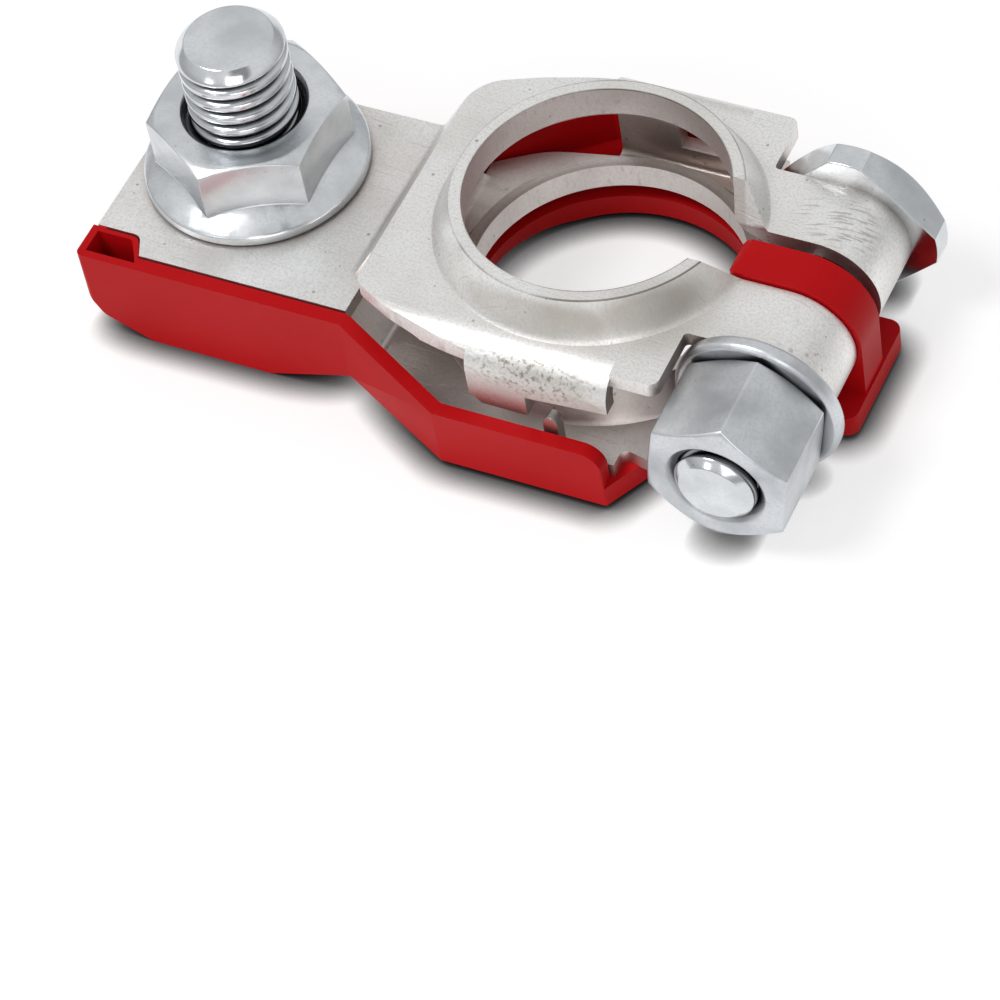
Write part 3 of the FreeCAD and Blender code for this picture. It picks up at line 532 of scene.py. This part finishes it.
plastic, tree, output = blank_material("red_plastic_skin")
shader = add_node(tree, "ShaderNodeBsdfPrincipled")
shader.inputs["IOR"].default_value = 1.49
shader.inputs["Specular IOR Level"].default_value = TRAY_SHEEN
surface = place_group(tree, mottle, **TRAY_PATTERN)
cloud = spread(tree, surface.outputs["Cloud"], *TRAY_CLOUDING)
join(tree, blend_colour(tree, cloud, TRAY_COLOUR, TRAY_DEEP), shader.inputs["Base Color"])
join(tree, spread(tree, surface.outputs["Cloud"], *TRAY_GLOSSING), shader.inputs["Roughness"])
relief(tree, shader, surface.outputs["Grain"], *TRAY_BUMP)
join(tree, shader.outputs[0], output.inputs["Surface"])
nodes["insulating_tray"].material_slots[0].material = plastic
round_edges(nodes["insulating_tray"], TRAY_EDGE)


# Stud nut, pinch nut and washer
# Cold-formed steel with bright blue-white zinc: a soft mirror with cloudy patches of passivation, a fine
# grain and corners broken by tumbling, with painted shade darkening it in crevices.
ZINC_COLOUR = (0.760, 0.785, 0.810, 1.0)
ZINC_CLOUD = (0.580, 0.605, 0.625, 1.0)
DULL_COLOUR = (0.670, 0.692, 0.720, 1.0)
DULL_CLOUD = (0.455, 0.475, 0.500, 1.0)
ZINC_SPOT = (0.330, 0.335, 0.335, 1.0)
CREVICE_SHADE_COLOUR = (0.190, 0.195, 0.200, 1.0)
CREVICE_REACH = 1.6 * MM
CREVICE_SAMPLES = 8
CREVICE_DARKENING = (0.45, 0.90, 0.80, 0.0)
ZINC_PATTERN = {"Cloud_Scale": 260.0, "Grain_Scale": 4200.0}
ZINC_CLOUDING = (0.38, 0.66)
ZINC_GRAINING = (0.45, 0.75, 0.0, 0.45)
ZINC_SPECKS = {"Scale": 1500.0, "Size": 0.24, "Share": 0.16}
ZINC_SPOT_DARKNESS = 0.6
ZINC_BUMP = (0.15, 0.01 * MM)
GLOSS_CLOUDING = (0.3, 0.7)
BRIGHT_GLOSS = (0.16, 0.32)
DULL_GLOSS = (0.28, 0.44)
NUT_EDGE = 0.14 * MM


def zinc_finish(name, clear, clouded, gloss_ends):
    """The zinc's material, with the tree, the shader and the colour that a thread adds its roots to."""
    material, tree, output = blank_material(name)
    shader = add_node(tree, "ShaderNodeBsdfPrincipled")
    shader.inputs["Metallic"].default_value = 1.0
    surface = place_group(tree, mottle, **ZINC_PATTERN)
    cloud = spread(tree, surface.outputs["Cloud"], *ZINC_CLOUDING)
    colour = blend_colour(tree, cloud, clear, clouded)
    grain = spread(tree, surface.outputs["Grain"], *ZINC_GRAINING)
    colour = blend_colour(tree, grain, colour, clouded)
    spots = place_group(tree, specks, **ZINC_SPECKS).outputs["Mask"]
    colour = blend_colour(tree, math_node(tree, "MULTIPLY", spots, ZINC_SPOT_DARKNESS), colour, ZINC_SPOT)
    # Painted shade: ambient occlusion darkens the zinc in crevices, such as the washer face next to the
    # nut.
    air = add_node(tree, "ShaderNodeAmbientOcclusion", samples=CREVICE_SAMPLES)
    air.inputs["Distance"].default_value = CREVICE_REACH
    painted_crevice_shade = spread(tree, air.outputs["AO"], *CREVICE_DARKENING)
    colour = blend_colour(tree, painted_crevice_shade, colour, CREVICE_SHADE_COLOUR)
    join(tree, colour, shader.inputs["Base Color"])
    gloss = spread(tree, surface.outputs["Cloud"], *GLOSS_CLOUDING, *gloss_ends)
    join(tree, gloss, shader.inputs["Roughness"])
    relief(tree, shader, surface.outputs["Grain"], *ZINC_BUMP)
    join(tree, shader.outputs[0], output.inputs["Surface"])
    return material, tree, shader, colour


bright_zinc = zinc_finish("zinc_bright_skin", ZINC_COLOUR, ZINC_CLOUD, BRIGHT_GLOSS)[0]
dull_zinc = zinc_finish("zinc_dull_skin", DULL_COLOUR, DULL_CLOUD, DULL_GLOSS)[0]
for name, finish in (("stud_nut", bright_zinc), ("pinch_nut", dull_zinc), ("pinch_washer", dull_zinc)):
    nodes[name].material_slots[0].material = finish
    round_edges(nodes[name], NUT_EDGE)


# Stud bolt
# An M8 bolt, plated bright, with a low round head under the tabs, a square neck that both tabs hold, and a
# rolled, right-handed thread with round crests that carries the lug and the flange nut.
STUD_RADIUS = 4.0 * MM
STUD_PITCH = 1.25 * MM
STUD_DEPTH = 0.80 * MM
STUD_CHAMFER = 0.80 * MM
STUD_CHAMFER_LENGTH = 0.90 * MM
STUD_RUN_OUT = 1.5 * MM
NECK_COVER = 0.4 * MM
THREAD_SIDES = 96
ROWS_PER_TURN = 20
GROOVE_START = 0.26
GROOVE_ROUNDING = 1.6
CHAMFER_ROUNDING = 1.25
RUN_OUT_START = 0.45
ON_END = 1e-6
ROOT_SHADE_COLOUR = (0.055, 0.055, 0.058, 1.0)
ROOT_DARKNESS = 0.95
ROOT_DEEP = 0.75
ROOT_SHALLOW = 0.18
CLEAN_END = (1.1 * MM, 0.8 * MM)
THREAD_GLOSS = (0.10, 0.22)


def thread_tree():
    """Geometry nodes for a threaded rod on +Z from the origin: a rolled-up grid with closed ends."""
    group = bpy.data.node_groups.new("rolled_thread", "GeometryNodeTree")
    for kind, names in (
        ("Float", ("Radius", "Depth", "Pitch", "Length", "Chamfer", "Chamfer Length", "Run Out")),
        ("Int", ("Rows", "Sides")),
        ("Material", ("Finish",)),
    ):
        for name in names:
            group.interface.new_socket(name, in_out="INPUT", socket_type="NodeSocket" + kind)
    group.interface.new_socket("Geometry", in_out="OUTPUT", socket_type="NodeSocketGeometry")
    inputs = add_node(group, "NodeGroupInput")
    outputs = add_node(group, "NodeGroupOutput")
    size = inputs.outputs

    def calc(operation, first, second=0.0, third=0.0):
        return math_node(group, operation, first, second, third)

    sheet = add_node(group, "GeometryNodeMeshGrid")
    sheet.inputs["Size X"].default_value = 1.0
    sheet.inputs["Size Y"].default_value = 1.0
    join(group, size["Rows"], sheet.inputs["Vertices X"])
    join(group, size["Sides"], sheet.inputs["Vertices Y"])
    here = add_node(group, "ShaderNodeSeparateXYZ")
    join(group, add_node(group, "GeometryNodeInputPosition").outputs[0], here.inputs[0])
    row = calc("ADD", here.outputs["X"], 0.5)
    side = calc("ADD", here.outputs["Y"], 0.5)
    full = calc("MULTIPLY_ADD", size["Radius"], 2.0, size["Length"])
    along = calc("MULTIPLY_ADD", row, full, calc("MULTIPLY", size["Radius"], -1.0))
    height = calc("MINIMUM", calc("MAXIMUM", along, 0.0), size["Length"])
    past = calc("DIVIDE", calc("ABSOLUTE", calc("SUBTRACT", along, height)), size["Radius"])
    angle = calc("MULTIPLY", side, 2.0 * math.pi)
    phase = calc("FRACT", calc("SUBTRACT", calc("DIVIDE", height, size["Pitch"]), side))
    flank = calc("ABSOLUTE", calc("MULTIPLY_ADD", phase, 2.0, -1.0))
    share = calc("DIVIDE", calc("SUBTRACT", flank, GROOVE_START), 1.0 - GROOVE_START)
    groove = calc("POWER", calc("MAXIMUM", share, 0.0), GROOVE_ROUNDING)
    to_end = calc("SUBTRACT", size["Length"], height)
    nearer = calc("MINIMUM", to_end, height)
    fade_start = calc("MULTIPLY", size["Run Out"], RUN_OUT_START)
    fade = soft_step(group, nearer, fade_start, size["Run Out"], 0.0, 1.0)
    cut = calc("MULTIPLY", calc("MULTIPLY", groove, fade), size["Depth"])
    body = calc("SUBTRACT", size["Radius"], cut)
    into = calc("MAXIMUM", calc("SUBTRACT", 1.0, calc("DIVIDE", nearer, size["Chamfer Length"])), 0.0)
    drop = calc("MULTIPLY", calc("POWER", into, CHAMFER_ROUNDING), size["Chamfer"])
    slope = calc("SUBTRACT", size["Radius"], drop)
    end_edge = calc("SUBTRACT", size["Radius"], size["Chamfer"])
    end_radius = calc("MULTIPLY", end_edge, calc("SUBTRACT", 1.0, past))
    on_end = calc("GREATER_THAN", past, ON_END)
    free = calc("MULTIPLY", calc("SUBTRACT", 1.0, on_end), size["Radius"])
    radius = calc("MINIMUM", calc("MINIMUM", body, slope), calc("ADD", end_radius, free))
    point = add_node(group, "ShaderNodeCombineXYZ")
    join(group, calc("MULTIPLY", radius, calc("COSINE", angle)), point.inputs["X"])
    join(group, calc("MULTIPLY", radius, calc("SINE", angle)), point.inputs["Y"])
    join(group, height, point.inputs["Z"])
    rolled = add_node(group, "GeometryNodeSetPosition")
    join(group, sheet.outputs["Mesh"], rolled.inputs["Geometry"])
    join(group, point.outputs[0], rolled.inputs["Position"])
    closed = add_node(group, "GeometryNodeMergeByDistance")
    join(group, rolled.outputs[0], closed.inputs["Geometry"])
    closed.inputs["Distance"].default_value = WELD_REACH
    smooth = add_node(group, "GeometryNodeSetShadeSmooth")
    join(group, closed.outputs[0], smooth.inputs["Geometry"])
    real = add_node(group, "GeometryNodeRealizeInstances")
    join(group, smooth.outputs[0], real.inputs[0])
    painted = add_node(group, "GeometryNodeSetMaterial")
    join(group, real.outputs[0], painted.inputs["Geometry"])
    join(group, size["Finish"], painted.inputs["Material"])
    join(group, painted.outputs[0], outputs.inputs["Geometry"])
    return group


def threaded_rod(name, values, place):
    """The thread tree's result as a plain mesh, moved to its place."""
    host = bpy.data.objects.new(name, bpy.data.meshes.new(name))
    bpy.context.scene.collection.objects.link(host)
    modifier = host.modifiers.new("thread", "NODES")
    modifier.node_group = rolled_thread
    for item in rolled_thread.interface.items_tree:
        if item.in_out == "INPUT":
            modifier[item.identifier] = values[item.name]
    result = bpy.data.meshes.new_from_object(host.evaluated_get(bpy.context.evaluated_depsgraph_get()))
    bpy.data.objects.remove(host)
    result.transform(place)
    rod = bmesh.new()
    rod.from_mesh(result)
    bmesh.ops.remove_doubles(rod, verts=rod.verts, dist=WELD_REACH)
    bmesh.ops.recalc_face_normals(rod, faces=rod.faces)
    rod.to_mesh(result)
    rod.free()
    return result


def bolt_with_thread(node_name, cut_point, cut_way, thread_mesh, finish, edge):
    """A copy of the bolt's head end, cut off where the thread starts, joined to the threaded rod."""
    whole = bmesh.new()
    whole.from_mesh(nodes[node_name].data)
    bmesh.ops.remove_doubles(whole, verts=whole.verts, dist=WELD_REACH)
    everything = whole.verts[:] + whole.edges[:] + whole.faces[:]
    cut = bmesh.ops.bisect_plane(
        whole, geom=everything, plane_co=cut_point, plane_no=cut_way, clear_outer=True
    )
    rim = [item for item in cut["geom_cut"] if isinstance(item, bmesh.types.BMEdge)]
    bmesh.ops.contextual_create(whole, geom=rim)
    bmesh.ops.dissolve_limit(whole, angle_limit=FLAT_ANGLE, verts=whole.verts, edges=whole.edges)
    sharp = [e for e in whole.edges if len(e.link_faces) == 2 and e.calc_face_angle() > EDGE_ANGLE]
    bmesh.ops.bevel(
        whole, geom=sharp, offset=edge, segments=EDGE_STEPS, profile=0.5, affect="EDGES", clamp_overlap=True
    )
    bmesh.ops.recalc_face_normals(whole, faces=whole.faces)
    whole.from_mesh(thread_mesh)
    mesh = bpy.data.meshes.new(node_name + "_threaded")
    whole.to_mesh(mesh)
    whole.free()
    mesh.materials.clear()
    mesh.materials.append(finish)
    mesh.polygons.foreach_set("material_index", [0] * len(mesh.polygons))
    mesh.polygons.foreach_set("use_smooth", [True] * len(mesh.polygons))
    piece = bpy.data.objects.new(node_name + "_threaded", mesh)
    bpy.context.scene.collection.objects.link(piece)
    weighted = piece.modifiers.new("weighted", "WEIGHTED_NORMAL")
    weighted.keep_sharp = False
    return piece


def thread_finish(name, axis_point, axis_way, start, end, radius, depth):
    """Bright zinc, made dull and dark in the thread's roots by painted shade."""
    material, tree, shader, colour = zinc_finish(name, ZINC_COLOUR, ZINC_CLOUD, THREAD_GLOSS)
    place = add_node(tree, "ShaderNodeTexCoord")
    away = add_node(tree, "ShaderNodeVectorMath", operation="SUBTRACT")
    join(tree, place.outputs["Object"], away.inputs[0])
    away.inputs[1].default_value = axis_point
    across = add_node(tree, "ShaderNodeVectorMath", operation="CROSS_PRODUCT")
    join(tree, away.outputs[0], across.inputs[0])
    across.inputs[1].default_value = axis_way
    distance = add_node(tree, "ShaderNodeVectorMath", operation="LENGTH")
    join(tree, across.outputs[0], distance.inputs[0])
    along = add_node(tree, "ShaderNodeVectorMath", operation="DOT_PRODUCT")
    join(tree, away.outputs[0], along.inputs[0])
    along.inputs[1].default_value = axis_way
    # Painted shade in the thread's roots, fading out near the threaded end.
    bottom = radius - ROOT_DEEP * depth
    shoulder = radius - ROOT_SHALLOW * depth
    deep = soft_step(tree, distance.outputs["Value"], bottom, shoulder, ROOT_DARKNESS, 0.0)
    clear = soft_step(tree, along.outputs["Value"], end - CLEAN_END[0], end - CLEAN_END[1], 1.0, 0.0)
    threaded = math_node(tree, "GREATER_THAN", along.outputs["Value"], start)
    painted_root_shade = math_node(tree, "MULTIPLY", math_node(tree, "MULTIPLY", deep, clear), threaded)
    join(tree, blend_colour(tree, painted_root_shade, colour, ROOT_SHADE_COLOUR), shader.inputs["Base Color"])
    return material


rolled_thread = thread_tree()
stud_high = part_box("stud_bolt")[1]
nut_low, nut_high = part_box("stud_nut")
stud_axis = (nut_low + nut_high) / 2.0
stud_start = nut_low.z - NECK_COVER
stud_length = stud_high.z - stud_start + NECK_COVER
stud_finish = thread_finish(
    "zinc_stud_skin", (stud_axis.x, stud_axis.y, 0.0), (0, 0, 1), stud_start, stud_high.z, STUD_RADIUS,
    STUD_DEPTH,
)
stud_rod = threaded_rod(
    "stud_rod",
    {
        "Radius": STUD_RADIUS, "Depth": STUD_DEPTH, "Pitch": STUD_PITCH, "Length": stud_length,
        "Chamfer": STUD_CHAMFER, "Chamfer Length": STUD_CHAMFER_LENGTH, "Run Out": STUD_RUN_OUT,
        "Sides": THREAD_SIDES + 1, "Finish": stud_finish,
        "Rows": int((stud_length + 2 * STUD_RADIUS) / STUD_PITCH * ROWS_PER_TURN),
    },
    Matrix.Translation((stud_axis.x, stud_axis.y, stud_start - NECK_COVER)),
)
stud = bolt_with_thread("stud_bolt", (0, 0, stud_start), (0, 0, 1), stud_rod, stud_finish, NUT_EDGE)
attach(stud, "clamp")
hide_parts("stud_bolt")


# Pinch bolt
# An M6 bolt through the curl. Its square head stands on a corner between the plates at the back, and its
# threaded end stands a little out of the nut at the front.
PINCH_RADIUS = 3.0 * MM
PINCH_PITCH = 1.0 * MM
PINCH_DEPTH = 0.58 * MM
PINCH_CHAMFER = 0.60 * MM
PINCH_CHAMFER_LENGTH = 0.60 * MM
PINCH_RUN_OUT = 0.9 * MM
PINCH_PLAY = 0.01 * MM
PINCH_COVER = 2.0 * MM
pinch_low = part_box("pinch_bolt")[0]
washer_low, washer_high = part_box("pinch_washer")
pinch_axis = (washer_low + washer_high) / 2.0
pinch_start = washer_high.y + PINCH_COVER
pinch_length = pinch_start - pinch_low.y + NECK_COVER
pinch_finish = thread_finish(
    "zinc_pinch_skin", (pinch_axis.x, 0.0, pinch_axis.z), (0, -1, 0), -pinch_start, -pinch_low.y,
    PINCH_RADIUS, PINCH_DEPTH,
)
pinch_rod = threaded_rod(
    "pinch_rod",
    {
        "Radius": PINCH_RADIUS - PINCH_PLAY, "Depth": PINCH_DEPTH, "Pitch": PINCH_PITCH,
        "Length": pinch_length, "Chamfer": PINCH_CHAMFER, "Chamfer Length": PINCH_CHAMFER_LENGTH,
        "Run Out": PINCH_RUN_OUT, "Sides": THREAD_SIDES + 1, "Finish": pinch_finish,
        "Rows": int((pinch_length + 2 * PINCH_RADIUS) / PINCH_PITCH * ROWS_PER_TURN),
    },
    Matrix.Translation((pinch_axis.x, pinch_start + NECK_COVER, pinch_axis.z))
    @ Matrix.Rotation(math.pi / 2, 4, "X"),
)
pinch = bolt_with_thread("pinch_bolt", (0, pinch_start, 0), (0, -1, 0), pinch_rod, pinch_finish, NUT_EDGE)
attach(pinch, "clamp")
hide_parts("pinch_bolt")

bpy.context.view_layer.update()
